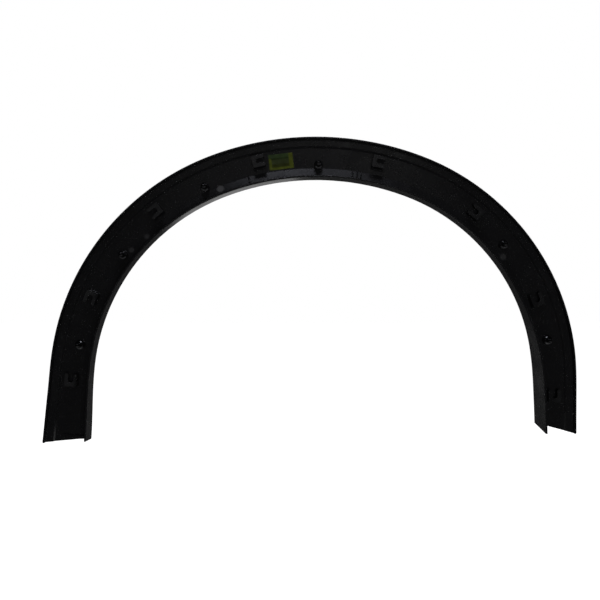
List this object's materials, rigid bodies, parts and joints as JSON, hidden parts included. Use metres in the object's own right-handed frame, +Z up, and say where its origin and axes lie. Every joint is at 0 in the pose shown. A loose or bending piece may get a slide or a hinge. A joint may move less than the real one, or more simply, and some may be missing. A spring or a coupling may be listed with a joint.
{
  "type": "fender molding",
  "caption": "Black arched wheel-opening moulding with a stepped margin, a wheel-side flange, clip seats, locating pins and a small label on its back.",
  "frame": {"origin": "centre of the crown locating pin's shoulder, which meets the fender", "axes": "+Z up as on the car, +X to the right seen from the body side, +Y out of the car toward the show face"},
  "size_m": [0.8813, 0.0734, 0.5105],
  "materials": {
    "black_plastic": "moulded black polypropylene, fine grain",
    "label": "printed vinyl sticker"
  },
  "bodies": {
    "root": {"arch_moulding": "black_plastic", "part_label": "label"}
  },
  "joints": []
}
